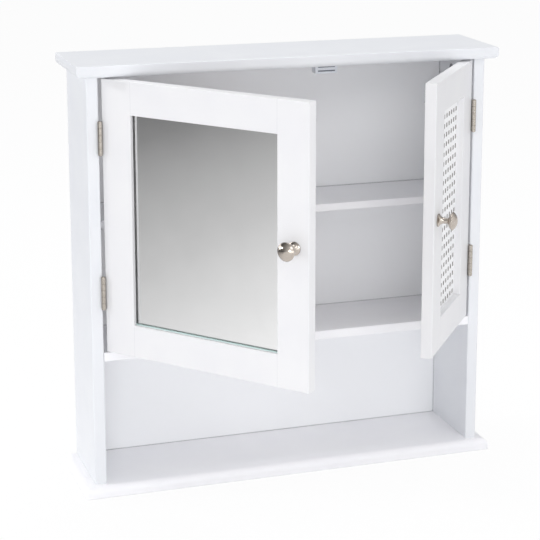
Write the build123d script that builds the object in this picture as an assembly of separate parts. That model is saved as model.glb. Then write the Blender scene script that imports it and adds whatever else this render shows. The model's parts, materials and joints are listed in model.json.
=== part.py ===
from build123d import *
import os

# Wall-hung bathroom cabinet: a wide mirror door, a narrow perforated door, two compartments
# behind them and an open niche below. Lengths are in millimetres and angles in degrees.
# X runs to the right, Y towards the wall and Z up. The origin lies on the wall plane, midway
# between the round entries of the two hanger plates.

# Carcass
carcass_width = 532.0
carcass_depth = 116.5
side_height = 528.0
side_thickness = 15.0
side_arris = 1.7
back_thickness = 3.0
back_rebate_width = 7.0
back_clearance = 0.3

# Top board, with an ovolo under its outer edge
top_thickness = 15.0
top_side_overhang = 14.0
top_front_overhang = 13.5
top_ovolo_radius = 6.5

# Bottom board, with an ovolo on top of its outer edge
bottom_thickness = 15.0
bottom_side_overhang = 14.0
bottom_front_overhang = 12.5
bottom_ovolo_radius = 8.5
board_arris = 0.7

# Shelves
niche_height = 163.5
fixed_shelf_thickness = 12.0
loose_shelf_height = 157.5
loose_shelf_thickness = 10.0
shelf_arris = 1.2
shelf_end_clearance = 0.5
shelf_back_gap = 0.8
shelf_door_gap = 1.5

# Pins under the loose shelf, and their rows of holes
pin_radius = 2.5
pin_embed = 8.0
pin_reach = 7.0
pin_flange_radius = 4.0
pin_flange_thickness = 1.2
pin_seat_cut = 0.4
pin_front_setback = 30.0
pin_back_setback = 22.0
pin_row_pitch = 32.0
pin_holes_above = 1
pin_holes_below = 1

# Doors, set between the sides
left_door_width = 300.0
door_thickness = 14.5
door_side_gap = 1.0
door_top_gap = 2.0
door_bottom_gap = 2.0
door_meeting_gap = 2.0
stile_width = 44.0
rail_width = 41.5
door_arris = 1.1
opening_arris = 0.8
door_back_arris = 0.6
left_door_open_angle = 51.0
right_door_open_angle = 53.4

# Mirror in its rebate
mirror_lip = 4.5
mirror_thickness = 4.0
mirror_clearance = 1.0
backing_thickness = 3.0
rebate_width = 6.0

# Perforated panel in its rebate
lattice_recess = 9.0
lattice_thickness = 3.0
lattice_clearance = 0.5
lattice_column_pitch = 12.8
lattice_row_pitch = 12.23
lattice_side_margin = 7.2
lattice_top_margin = 14.5
lattice_least_end_margin = 6.0
lattice_hole = 6.0
lattice_hole_corner = 1.5

# Brads that hold the mirror's backing and the perforated panel
brad_radius = 0.6
brad_embed = 8.0
brad_reach = 4.0
brad_corner_distance = 30.0
brads_per_stile = 4
brads_per_rail = 2

# Knobs
knob_edge_distance = 20.0
knob_base_radius = 8.25
knob_base_rim = 1.2
knob_neck_radius = 3.7
knob_neck_height = 8.5
knob_head_radius = 11.5
knob_back_height = 13.0
knob_back_rise = 0.2
knob_back_round = 1.0
knob_rim_height = 18.0
knob_rim_thickness = 1.0
knob_rim_round = 0.4
knob_projection = 24.5
knob_screw_radius = 2.0
knob_screw_clearance = 0.3
knob_screw_head_radius = 4.2
knob_screw_head_height = 2.0
knob_screw_depth = 10.0

# Cross recesses of the knob screws and the cams
large_recess_span = 6.0
large_recess_width = 1.2
large_recess_depth = 1.0

# Butt hinges
hinge_length = 42.0
hinge_top_distance = 74.0
hinge_bottom_distance = 77.0
hinge_leaf_width = 12.0
hinge_leaf_thickness = 1.0
hinge_leaf_inset = 0.6
hinge_knuckle_radius = 3.0
hinge_knuckle_clearance = 0.3
hinge_knuckles = 5
hinge_pin_radius = 1.1
hinge_pin_clearance = 0.05
hinge_pin_head_radius = 1.9
hinge_pin_head_height = 0.8
hinge_screw_spacing = 24.0

# Small countersunk screws of the fittings
screw_radius = 1.4
screw_head_radius = 2.6
screw_head_height = 1.3
screw_length = 11.0
recess_span = 3.4
recess_width = 0.6
recess_depth = 0.5

# Magnetic catch under the top board
catch_width = 30.0
catch_depth = 14.0
catch_height = 13.0
catch_foot_depth = 12.0
catch_foot_thickness = 2.6
catch_corner = 1.2
catch_gap = 0.3
catch_screw_spacing = 17.0
pole_width = 23.0
pole_thickness = 1.6
pole_depth = 10.0
pole_spacing = 5.3
pole_top_drop = 4.2
pole_stand_out = 0.3
magnet_width = 20.0
magnet_depth = 8.0

# Strike plates on the doors' backs
strike_width = 13.0
strike_height = 24.0
strike_thickness = 1.2
strike_edge_distance = 0.8
strike_top_distance = 0.7
strike_screw_drop = 17.5
strike_screw_length = 9.0

# Dowels
dowel_radius = 3.0
dowel_length = 24.0
dowel_setback = 24.0
door_dowel_radius = 2.5
door_dowel_length = 26.0
door_dowel_edge = 10.0
door_dowel_spacing = 17.0
dowel_end_chamfer = 0.6

# Cam fittings
cam_radius = 6.0
cam_below_bolt = 4.0
cam_setback = 24.0
cam_dowel_distance = 18.0
cam_bolt_radius = 2.0
cam_bolt_bore_radius = 3.3
cam_head_radius = 2.9
cam_head_height = 2.2
cam_thread_radius = 2.8
cam_thread_length = 8.5

# Screws up through the bottom board
base_screw_radius = 2.2
base_screw_head_radius = 4.4
base_screw_head_height = 2.6
base_screw_length = 45.0
base_screw_dowel_distance = 14.0

# Nails of the back panel
nail_radius = 0.7
nail_head_radius = 1.6
nail_head_height = 0.6
nail_length = 12.0
nails_per_side = 6
nails_in_shelf = 5
nail_end_distance = 25.0

# Hanger plates let into the rear edges of the sides
hanger_drop = 38.0
hanger_width = 12.0
hanger_height = 46.0
hanger_thickness = 2.0
hanger_entry_radius = 4.2
hanger_slot_radius = 2.1
hanger_slot_rise = 9.0
hanger_screw_spacing = 36.0
hanger_pocket_depth = 9.0
hanger_pocket_margin = 0.5
hanger_rebate_gap = 7.5

# Clearances shared by many fits
bore_clearance = 0.05
inlay_clearance = 0.1

# Places that follow from the sizes
half_carcass = carcass_width / 2
half_inner = half_carcass - side_thickness
front_y = -carcass_depth
inner_back_y = -back_thickness
side_top_z = hanger_drop
side_bottom_z = side_top_z - side_height
base_z = side_bottom_z - bottom_thickness
fixed_shelf_z = side_bottom_z + niche_height
fixed_shelf_top_z = fixed_shelf_z + fixed_shelf_thickness
loose_shelf_z = fixed_shelf_top_z + loose_shelf_height
door_bottom_z = fixed_shelf_top_z + door_bottom_gap
door_top_z = side_top_z - door_top_gap
door_edge_x = -half_inner + door_side_gap
door_back_y = front_y + door_thickness
right_door_width = 2 * (half_inner - door_side_gap) - door_meeting_gap - left_door_width
meeting_x = door_edge_x + left_door_width + door_meeting_gap / 2
hinge_x = -half_inner + door_side_gap / 2
hinge_y = front_y - hinge_knuckle_clearance - hinge_knuckle_radius
hinge_heights = (door_top_z - hinge_top_distance, door_bottom_z + hinge_bottom_distance)
side_middle_x = half_carcass - side_thickness / 2
shelf_middle_z = fixed_shelf_z + fixed_shelf_thickness / 2
dowel_ys = (front_y + dowel_setback, -dowel_setback)
cam_ys = (dowel_ys[0] + cam_dowel_distance, dowel_ys[1] - cam_dowel_distance)
pin_ys = (front_y + pin_front_setback, inner_back_y - pin_back_setback)
catch_front_y = door_back_y + strike_thickness + pole_stand_out + catch_gap
hanger_top_z = hanger_height / 2
spare = 1.0
near = 0.01

up, down = (0, 0, 1), (0, 0, -1)
to_right, to_left = (1, 0, 0), (-1, 0, 0)
to_wall, to_room = (0, 1, 0), (0, -1, 0)


# General helpers

def block(x_span, y_span, z_span):
    """Return a box between the two ends of each span."""
    spans = (x_span, y_span, z_span)
    size = [abs(b - a) for a, b in spans]
    middle = [(a + b) / 2 for a, b in spans]
    return Pos(*middle) * Box(*size)


def rod(start, direction, radius, length):
    """Return a cylinder that runs from a point along a direction."""
    upright = Cylinder(radius, length, align=(Align.CENTER, Align.CENTER, Align.MIN))
    return Plane(origin=start, z_dir=direction) * upright


def flipped(shape):
    """Return a shape's mirror image on the other side of the middle plane."""
    return mirror(shape, about=Plane.YZ)


def both_sides(shapes):
    """Return the shapes and their mirror images."""
    return [s for shape in shapes for s in (shape, flipped(shape))]


def spaced(first, last, count):
    """Return evenly spaced places from first to last."""
    step = (last - first) / (count - 1) if count > 1 else 0.0
    return [first + step * i for i in range(count)]


def edges_at(shape, axis, **places):
    """Pick the straight edges along an axis whose centres have the given x, y or z."""
    picked = shape.edges().filter_by(axis)
    for name, value in places.items():
        picked = [e for e in picked if abs(getattr(e.center(), name.upper()) - value) < near]
    return ShapeList(picked)


def turned(points):
    """Return the solid that closed points (radius, height) sweep about the vertical axis."""
    return revolve(make_face(Plane.XZ * Polyline(*points, close=True)), axis=Axis.Z)


def cross_recess(length, width, depth):
    """Return a cross that is cut into a face at the origin."""
    arm = Box(length, width, 2 * depth)
    return arm + Rot(0, 0, 90) * arm


def large_recess():
    """Return the cross of the knob screws and the cams."""
    return cross_recess(large_recess_span, large_recess_width, large_recess_depth)


# Fasteners

def countersunk_screw(origin, direction, length, radius, head_radius, head_height):
    """Return a countersunk screw whose head looks along a direction."""
    tip = 2 * radius
    outline = [(0, 0), (head_radius, 0), (radius, -head_height), (radius, -length + tip), (0, -length)]
    screw = turned(outline) - cross_recess(recess_span, recess_width, recess_depth)
    return Plane(origin=origin, z_dir=direction) * screw


def countersunk_bore(origin, direction, length, radius, head_radius, head_height):
    """Return the hole of a countersunk screw."""
    wide = radius + bore_clearance
    deep = -length - bore_clearance
    outline = [(0, spare), (head_radius + bore_clearance, spare), (head_radius + bore_clearance, 0),
               (wide, -head_height), (wide, deep), (0, deep)]
    return Plane(origin=origin, z_dir=direction) * turned(outline)


def fitting_screw(origin, direction, length=screw_length):
    """Return a small screw of the fittings."""
    return countersunk_screw(origin, direction, length, screw_radius, screw_head_radius,
                             screw_head_height)


def fitting_bore(origin, direction, length=screw_length):
    """Return the hole of a small screw of the fittings."""
    return countersunk_bore(origin, direction, length, screw_radius, screw_head_radius,
                            screw_head_height)


def dowel(centre, direction, radius, length):
    """Return a chamfered dowel whose middle lies on a joint."""
    body = Cylinder(radius, length)
    body = chamfer(body.edges().filter_by(GeomType.CIRCLE), dowel_end_chamfer)
    return Plane(origin=centre, z_dir=direction) * body


def dowel_bore(centre, direction, radius, length):
    """Return the hole of a dowel through both boards."""
    bore = Cylinder(radius + bore_clearance, length + 2 * bore_clearance)
    return Plane(origin=centre, z_dir=direction) * bore


# Joints of the carcass

def dowel_places():
    """Return where the dowels of the right side are, and along what they run."""
    places = [((side_middle_x, y, side_top_z), up) for y in dowel_ys]
    places += [((half_inner, y, shelf_middle_z), to_right) for y in dowel_ys]
    places += [((side_middle_x, sum(dowel_ys) / 2, side_bottom_z), up)]
    return places


def carcass_dowels():
    """Return the dowels of the top, the bottom and the fixed shelf."""
    return both_sides([dowel(c, d, dowel_radius, dowel_length) for c, d in dowel_places()])


def carcass_dowel_bores():
    """Return the holes of the carcass dowels."""
    return both_sides([dowel_bore(c, d, dowel_radius, dowel_length) for c, d in dowel_places()])


def cam_places():
    """Return the frame and the bolt's depth under the cam's face for each cam of the right side.

    A frame has its origin on the joint, Z along the bolt towards the cam and X towards the
    face of the board that the cam is seen on.
    """
    side = [(Plane(origin=(side_middle_x, y, side_top_z), x_dir=to_left, z_dir=down), side_thickness / 2)
            for y in cam_ys]
    shelf = [(Plane(origin=(half_inner, y, shelf_middle_z), x_dir=down, z_dir=to_left),
              fixed_shelf_thickness / 2) for y in cam_ys]
    return side + shelf


def cam_bolt(frame):
    """Return a cam bolt, screwed into the board behind the joint."""
    shank = rod((0, 0, 0), up, cam_bolt_radius, cam_setback)
    head = rod((0, 0, cam_setback - cam_head_height / 2), up, cam_head_radius, cam_head_height)
    thread = rod((0, 0, 0), down, cam_thread_radius, cam_thread_length)
    return frame * (shank + head + thread)


def cam_disc(frame, bolt_depth):
    """Return a cam that holds the bolt's head in its hollow."""
    floor_x = -cam_below_bolt
    disc = rod((floor_x, 0, cam_setback), to_right, cam_radius, bolt_depth + cam_below_bolt)
    play = inlay_clearance
    half_slot = cam_bolt_radius + play
    half_hollow = cam_head_radius + play
    head_reach = cam_head_height / 2 + play
    slot = block((-half_slot, half_slot), (-half_slot, half_slot),
                 (cam_setback - cam_radius - spare, cam_setback))
    hollow = block((-half_hollow, half_hollow), (-half_hollow, half_hollow),
                   (cam_setback - head_reach, cam_setback + head_reach))
    recess = Plane(origin=(bolt_depth, 0, cam_setback), z_dir=to_right) * large_recess()
    return frame * (disc - slot - hollow - recess)


def cam_bores(frame, bolt_depth):
    """Return the holes of a cam and its bolt."""
    pocket = rod((-cam_below_bolt - inlay_clearance, 0, cam_setback), to_right,
                 cam_radius + inlay_clearance, bolt_depth + cam_below_bolt + inlay_clearance + spare)
    edge_bore = rod((0, 0, 0), up, cam_bolt_bore_radius, cam_setback)
    thread_bore = rod((0, 0, 0), down, cam_thread_radius + bore_clearance,
                      cam_thread_length + bore_clearance)
    return frame * pocket, frame * edge_bore, frame * thread_bore


def cam_bolts():
    """Return all the cam bolts."""
    return both_sides([cam_bolt(frame) for frame, _ in cam_places()])


def cam_discs():
    """Return all the cams."""
    return both_sides([cam_disc(frame, depth) for frame, depth in cam_places()])


def carcass_cam_bores():
    """Return the holes of all the cam fittings."""
    bores = []
    for frame, depth in cam_places():
        bores += cam_bores(frame, depth)
    return both_sides(bores)


def base_screw_places():
    """Return where the heads of the right side's bottom screws are."""
    ys = (dowel_ys[0] + base_screw_dowel_distance, dowel_ys[1] - base_screw_dowel_distance)
    return [(side_middle_x, y, base_z) for y in ys]


def base_screw_sizes():
    """Return the length, radius and head of the bottom screws."""
    return base_screw_length, base_screw_radius, base_screw_head_radius, base_screw_head_height


def bottom_board_screws():
    """Return the screws up through the bottom board."""
    return both_sides([countersunk_screw(p, down, *base_screw_sizes()) for p in base_screw_places()])


def bottom_screw_bores():
    """Return the holes of the bottom screws."""
    return both_sides([countersunk_bore(p, down, *base_screw_sizes()) for p in base_screw_places()])


# Boards of the carcass

def top_board():
    """Return the top board with the ovolo under its front and side edges."""
    half = half_carcass + top_side_overhang
    edge_y = front_y - top_front_overhang
    top = side_top_z + top_thickness
    board = block((-half, half), (edge_y, 0), (side_top_z, top))
    ovolo = edges_at(board, Axis.X, y=edge_y, z=side_top_z) + edges_at(board, Axis.Y, z=side_top_z)
    board = fillet(ovolo, top_ovolo_radius)
    arrises = edges_at(board, Axis.X, y=edge_y, z=top) + edges_at(board, Axis.Y, z=top)
    board = fillet(arrises, board_arris)
    return board - carcass_dowel_bores() - carcass_cam_bores() - catch_screw_bores()


def bottom_board():
    """Return the bottom board with the ovolo on its front and side edges."""
    half = half_carcass + bottom_side_overhang
    edge_y = front_y - bottom_front_overhang
    board = block((-half, half), (edge_y, 0), (base_z, side_bottom_z))
    ovolo = edges_at(board, Axis.X, y=edge_y, z=side_bottom_z) + edges_at(board, Axis.Y, z=side_bottom_z)
    board = fillet(ovolo, bottom_ovolo_radius)
    arrises = edges_at(board, Axis.X, y=edge_y, z=base_z) + edges_at(board, Axis.Y, z=base_z)
    board = fillet(arrises, board_arris)
    return board - carcass_dowel_bores() - bottom_screw_bores()


def hanger_zone_z():
    """Return the height below which the back panel fills the rebate beside the hanger plate."""
    return -hanger_top_z - hanger_rebate_gap


def left_side_panel():
    """Return the left side with its rebate, mortises and holes."""
    panel = block((-half_carcass, -half_inner), (front_y, 0), (side_bottom_z, side_top_z))
    panel = fillet(edges_at(panel, Axis.Z, y=front_y), side_arris)
    rebate = block((-half_inner - back_rebate_width, -half_inner + spare), (inner_back_y, spare),
                   (side_bottom_z - spare, hanger_zone_z()))
    mortises = [hinge_mortise(z, -1) for z in hinge_heights]
    hinge_bores = [fitting_bore(*place) for z in hinge_heights for place in hinge_screw_places(z, -1)]
    panel = panel - rebate - mortises - hinge_bores - left_pin_bores() - hanger_bores()
    return panel - carcass_dowel_bores() - carcass_cam_bores() - bottom_screw_bores() - nail_bores()


def fixed_shelf():
    """Return the shelf between the doors and the niche."""
    shelf = block((-half_inner, half_inner), (front_y, inner_back_y), (fixed_shelf_z, fixed_shelf_top_z))
    shelf = fillet(edges_at(shelf, Axis.X, y=front_y), shelf_arris)
    return shelf - carcass_dowel_bores() - carcass_cam_bores() - nail_bores()


def adjustable_shelf():
    """Return the loose shelf behind the doors."""
    half = half_inner - shelf_end_clearance
    shelf_front_y = door_back_y + shelf_door_gap
    shelf = block((-half, half), (shelf_front_y, inner_back_y - shelf_back_gap),
                  (loose_shelf_z, loose_shelf_z + loose_shelf_thickness))
    return fillet(edges_at(shelf, Axis.X, y=shelf_front_y), shelf_arris)


def back_panel():
    """Return the back panel, with corners notched around the hanger plates."""
    half = half_inner + back_rebate_width - back_clearance
    panel_z = (side_bottom_z + back_clearance, side_top_z - back_clearance)
    panel = block((-half, half), (inner_back_y, 0), panel_z)
    notch = block((half_inner - back_clearance, half + spare), (inner_back_y - spare, spare),
                  (hanger_zone_z() - back_clearance, side_top_z))
    return panel - both_sides([notch]) - nail_bores()


# Pins of the loose shelf

def pin_axis_z():
    """Return the height of the axis of the pins that the shelf rests on."""
    return loose_shelf_z - pin_radius + pin_seat_cut


def shelf_pins():
    """Return the pins, each with a flange against the side and a flat seat."""
    pins = []
    for y in pin_ys:
        body = rod((-half_inner - pin_embed, y, pin_axis_z()), to_right, pin_radius, pin_embed + pin_reach)
        flange = rod((-half_inner, y, pin_axis_z()), to_right, pin_flange_radius, pin_flange_thickness)
        above = block((-half_inner, -half_inner + pin_reach + spare),
                      (y - pin_flange_radius - spare, y + pin_flange_radius + spare),
                      (loose_shelf_z, loose_shelf_z + pin_flange_radius))
        pins.append(body + flange - above)
    return both_sides(pins)


def left_pin_bores():
    """Return the left side's rows of pin holes."""
    heights = [pin_axis_z() + pin_row_pitch * i for i in range(-pin_holes_below, pin_holes_above + 1)]
    return [rod((-half_inner + spare, y, z), to_left, pin_radius + bore_clearance,
                pin_embed + bore_clearance + spare) for y in pin_ys for z in heights]


# Nails of the back panel

def nail_places():
    """Return where the heads of the back panel's nails are."""
    heights = spaced(side_bottom_z + nail_end_distance, hanger_zone_z() - nail_end_distance, nails_per_side)
    nail_x = half_inner + back_rebate_width / 2
    side = [(s * nail_x, 0, z) for s in (-1, 1) for z in heights]
    shelf_nail_x = half_inner - nail_end_distance - cam_setback
    return side + [(x, 0, shelf_middle_z) for x in spaced(-shelf_nail_x, shelf_nail_x, nails_in_shelf)]


def back_panel_nails():
    """Return the flat-headed nails of the back panel."""
    outline = [(0, 0), (nail_head_radius, 0), (nail_head_radius, -nail_head_height),
               (nail_radius, -nail_head_height), (nail_radius, -nail_length + 2 * nail_radius),
               (0, -nail_length)]
    nail = turned(outline)
    return [Plane(origin=place, z_dir=to_wall) * nail for place in nail_places()]


def nail_bores():
    """Return the holes of the nails."""
    bores = []
    for place in nail_places():
        x, y, z = place
        bores.append(rod(place, to_room, nail_radius + bore_clearance, nail_length + bore_clearance))
        bores.append(rod((x, y + spare, z), to_room, nail_head_radius + bore_clearance,
                         nail_head_height + bore_clearance + spare))
    return bores


# Hangers

def hanger_screw_places():
    """Return where the heads of one hanger plate's screws are on the left side."""
    return [((-side_middle_x, 0, s * hanger_screw_spacing / 2), to_wall) for s in (-1, 1)]


def keyhole(entry_radius, slot_radius, rise, depth):
    """Return a keyhole cutter from the wall plane inwards, with its entry at the origin."""
    entry = rod((0, spare, 0), to_room, entry_radius, depth + spare)
    slot_end = rod((0, spare, rise), to_room, slot_radius, depth + spare)
    slot = block((-slot_radius, slot_radius), (-depth, spare), (0, rise))
    return entry + slot + slot_end


def wall_hanger_plates():
    """Return the two keyhole plates, flush with the rear edges of the sides."""
    half = hanger_width / 2
    plate = block((-side_middle_x - half, -side_middle_x + half), (-hanger_thickness, 0),
                  (-hanger_top_z, hanger_top_z))
    key = Pos(-side_middle_x, 0, 0) * keyhole(hanger_entry_radius, hanger_slot_radius, hanger_slot_rise,
                                              hanger_thickness + spare)
    return both_sides([plate - key - [fitting_bore(*place) for place in hanger_screw_places()]])


def wall_hanger_screws():
    """Return the screws of the hanger plates."""
    return both_sides([fitting_screw(*place) for place in hanger_screw_places()])


def hanger_bores():
    """Return the left side's recess, pocket and screw holes behind its hanger plate."""
    half = hanger_width / 2 + inlay_clearance
    top = hanger_top_z + inlay_clearance
    across = (-side_middle_x - half, -side_middle_x + half)
    recess = block(across, (-hanger_thickness - inlay_clearance, spare), (-top, top))
    pocket_radius = hanger_entry_radius + hanger_pocket_margin
    pocket = Pos(-side_middle_x, 0, 0) * keyhole(pocket_radius, pocket_radius, hanger_slot_rise,
                                                 hanger_thickness + hanger_pocket_depth)
    return [recess, pocket] + [fitting_bore(*place) for place in hanger_screw_places()]


# Magnetic catch

def catch_screw_places():
    """Return where the heads of the catch's screws are."""
    y = catch_front_y + catch_depth + catch_foot_depth / 2
    z = side_top_z - catch_foot_thickness
    return [((meeting_x + s * catch_screw_spacing / 2, y, z), down) for s in (-1, 1)]


def catch_screw_bores():
    """Return the holes of the catch's screws."""
    return [fitting_bore(*place) for place in catch_screw_places()]


def pole_heights():
    """Return the middle heights of the two pole plates."""
    upper = side_top_z - pole_top_drop
    return upper, upper - pole_spacing


def pole_back_y():
    """Return where the pole plates end towards the wall."""
    return catch_front_y - pole_stand_out + pole_depth


def catch_span_x(width):
    """Return a span of the given width about the line where the doors meet."""
    return meeting_x - width / 2, meeting_x + width / 2


def catch_housing():
    """Return the housing with its foot, the slots of the poles and the chamber of the magnet."""
    back_y = catch_front_y + catch_depth
    head = block(catch_span_x(catch_width), (catch_front_y, back_y), (side_top_z - catch_height, side_top_z))
    head = fillet(edges_at(head, Axis.Y, z=side_top_z - catch_height), catch_corner)
    foot = block(catch_span_x(catch_width), (back_y, back_y + catch_foot_depth),
                 (side_top_z - catch_foot_thickness, side_top_z))
    high, low = pole_heights()
    play = inlay_clearance
    half_slot = pole_thickness / 2 + play
    hollow_back_y = pole_back_y() + play
    slots = [block(catch_span_x(pole_width + 2 * play), (catch_front_y - spare, hollow_back_y),
                   (z - half_slot, z + half_slot)) for z in (high, low)]
    magnet_front_y = pole_back_y() - magnet_depth
    chamber = block(catch_span_x(magnet_width + 2 * play), (magnet_front_y - play, hollow_back_y), (low, high))
    return head + foot - slots - chamber - catch_screw_bores()


def catch_pole_plates():
    """Return the two steel plates that carry the magnet's pull to the doors."""
    depth_span = (catch_front_y - pole_stand_out, pole_back_y())
    half_pole = pole_thickness / 2
    return [block(catch_span_x(pole_width), depth_span, (z - half_pole, z + half_pole))
            for z in pole_heights()]


def catch_magnet():
    """Return the magnet between the pole plates."""
    high, low = pole_heights()
    half_pole = pole_thickness / 2
    between_poles = (low + half_pole, high - half_pole)
    return block(catch_span_x(magnet_width), (pole_back_y() - magnet_depth, pole_back_y()), between_poles)


def catch_screws():
    """Return the screws up into the top board."""
    return [fitting_screw(*place) for place in catch_screw_places()]


# Doors. Each is built shut and as if it hung on the left side, then mirrored and swung open.

def swung(shape, side):
    """Carry a shut left-hand piece to its side (-1 left, 1 right) and to the open door."""
    angle = left_door_open_angle if side < 0 else right_door_open_angle
    pivot = Pos(side * -hinge_x, hinge_y, 0)
    placed = shape if side < 0 else flipped(shape)
    return pivot * Rot(0, 0, side * angle) * pivot.inverse() * placed


def door_width(side):
    """Return the width of a door."""
    return left_door_width if side < 0 else right_door_width


def opening_spans(side):
    """Return the X and Z spans of the opening in a door's frame."""
    x_span = (door_edge_x + stile_width, door_edge_x + door_width(side) - stile_width)
    return x_span, (door_bottom_z + rail_width, door_top_z - rail_width)


def widened(span, margin):
    """Return a span that is longer by a margin at each end."""
    return span[0] - margin, span[1] + margin


def panel_depth(side):
    """Return how deep under the door's face the mirror or the perforated panel lies."""
    return mirror_lip if side < 0 else lattice_recess


def filling_thickness(side):
    """Return the thickness of what lies in a door's rebate."""
    return mirror_thickness + backing_thickness if side < 0 else lattice_thickness


def brad_places(side):
    """Return the rebate-wall point and direction of each brad of a door."""
    x_span, z_span = (widened(span, rebate_width) for span in opening_spans(side))
    y = front_y + panel_depth(side) + filling_thickness(side) + brad_radius
    inset = brad_corner_distance
    heights = spaced(z_span[0] + inset, z_span[1] - inset, brads_per_stile)
    across = spaced(x_span[0] + inset, x_span[1] - inset, brads_per_rail)
    places = [((x_span[0], y, z), to_right) for z in heights]
    places += [((x_span[1], y, z), to_left) for z in heights]
    places += [((x, y, z_span[0]), up) for x in across]
    places += [((x, y, z_span[1]), down) for x in across]
    return places


def brad(place, direction):
    """Return a brad that stands out of the rebate's wall."""
    axis = Plane(origin=place, z_dir=direction)
    return axis * rod((0, 0, -brad_embed), up, brad_radius, brad_embed + brad_reach)


def brad_bore(place, direction):
    """Return the hole of a brad in the rebate's wall."""
    axis = Plane(origin=place, z_dir=direction)
    depth = brad_embed + bore_clearance
    return axis * rod((0, 0, -depth), up, brad_radius + bore_clearance, depth + spare)


def brads(side):
    """Return the brads of a door."""
    return [swung(brad(*place), side) for place in brad_places(side)]


def door_dowel_places(side):
    """Return the centres of the dowels between a door's rails and stiles."""
    x_span = opening_spans(side)[0]
    y = front_y + door_thickness / 2
    drops = (door_dowel_edge, door_dowel_edge + door_dowel_spacing)
    heights = [door_bottom_z + d for d in drops] + [door_top_z - d for d in drops]
    return [((x, y, z), to_right) for x in x_span for z in heights]


def door_dowels(side):
    """Return the dowels of a door's frame."""
    return [swung(dowel(c, d, door_dowel_radius, door_dowel_length), side)
            for c, d in door_dowel_places(side)]


def door_frame(side):
    """Return a door's four frame pieces: hinge stile, meeting stile, top rail and bottom rail."""
    x_span = (door_edge_x, door_edge_x + door_width(side))
    z_span = (door_bottom_z, door_top_z)
    open_x, open_z = opening_spans(side)
    whole = block(x_span, (front_y, door_back_y), z_span)
    whole = fillet(whole.edges().filter_by_position(Axis.Y, front_y, front_y), door_arris)
    whole = fillet(whole.edges().filter_by_position(Axis.Y, door_back_y, door_back_y), door_back_arris)
    whole -= block(open_x, (front_y - spare, door_back_y + spare), open_z)
    inner = [e for e in whole.edges().filter_by_position(Axis.Y, front_y, front_y)
             if open_x[0] - spare < e.center().X < open_x[1] + spare
             and open_z[0] - spare < e.center().Z < open_z[1] + spare]
    whole = fillet(inner, opening_arris)
    whole -= block(widened(open_x, rebate_width), (front_y + panel_depth(side), door_back_y + spare),
                   widened(open_z, rebate_width))
    whole = whole - [brad_bore(*place) for place in brad_places(side)]
    whole = whole - [dowel_bore(c, d, door_dowel_radius, door_dowel_length)
                     for c, d in door_dowel_places(side)]
    whole = whole - [hinge_mortise(z, 1) for z in hinge_heights]
    whole = whole - [fitting_bore(*place) for z in hinge_heights for place in hinge_screw_places(z, 1)]
    whole = whole - knob_screw_bore(side) - strike_bore(side)
    everywhere = (front_y - spare, door_back_y + spare)
    hinge_side = block((x_span[0] - spare, open_x[0]), everywhere, widened(z_span, spare))
    meeting_side = block((open_x[1], x_span[1] + spare), everywhere, widened(z_span, spare))
    rails = whole - hinge_side - meeting_side
    bottom_rail, top_rail = rails.solids().sort_by(Axis.Z)
    pieces = (whole & hinge_side, whole & meeting_side, top_rail, bottom_rail)
    return [swung(piece, side) for piece in pieces]


def mirror_glass():
    """Return the mirror in the left door's rebate."""
    x_span, z_span = (widened(span, rebate_width - mirror_clearance) for span in opening_spans(-1))
    y = front_y + mirror_lip
    return swung(block(x_span, (y, y + mirror_thickness), z_span), -1)


def mirror_backing():
    """Return the board behind the mirror."""
    x_span, z_span = (widened(span, rebate_width - mirror_clearance) for span in opening_spans(-1))
    y = front_y + mirror_lip + mirror_thickness
    return swung(block(x_span, (y, y + backing_thickness), z_span), -1)


def hole_distances(room, first, pitch):
    """Return how far the holes of one row lie from the edge that the first is measured from."""
    count = int((room - first - lattice_least_end_margin) / pitch) + 1
    return [first + pitch * i for i in range(count)]


def perforated_panel():
    """Return the right door's panel with its rows of rounded square holes."""
    open_x, open_z = opening_spans(1)
    x_span, z_span = (widened(span, rebate_width - lattice_clearance) for span in (open_x, open_z))
    sheet = Plane.XZ * Pos(sum(x_span) / 2, sum(z_span) / 2) * Rectangle(
        x_span[1] - x_span[0], z_span[1] - z_span[0])
    hole = RectangleRounded(lattice_hole, lattice_hole, lattice_hole_corner)
    across = hole_distances(open_x[1] - open_x[0], lattice_side_margin, lattice_column_pitch)
    down = hole_distances(open_z[1] - open_z[0], lattice_top_margin, lattice_row_pitch)
    columns = [open_x[0] + distance for distance in across]
    rows = [open_z[1] - distance for distance in down]
    holes = [(Plane.XZ * Pos(x, z) * hole).face().outer_wire() for x in columns for z in rows]
    face = Face(sheet.face().outer_wire(), holes)
    y = front_y + lattice_recess
    return swung(Pos(0, y, 0) * extrude(face, amount=lattice_thickness, dir=to_wall), 1)


# Knobs

def knob_place(side):
    """Return the middle of the knob's foot on the door's face."""
    x = door_edge_x + door_width(side) - knob_edge_distance
    return x, front_y, (door_top_z + door_bottom_z) / 2


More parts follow.
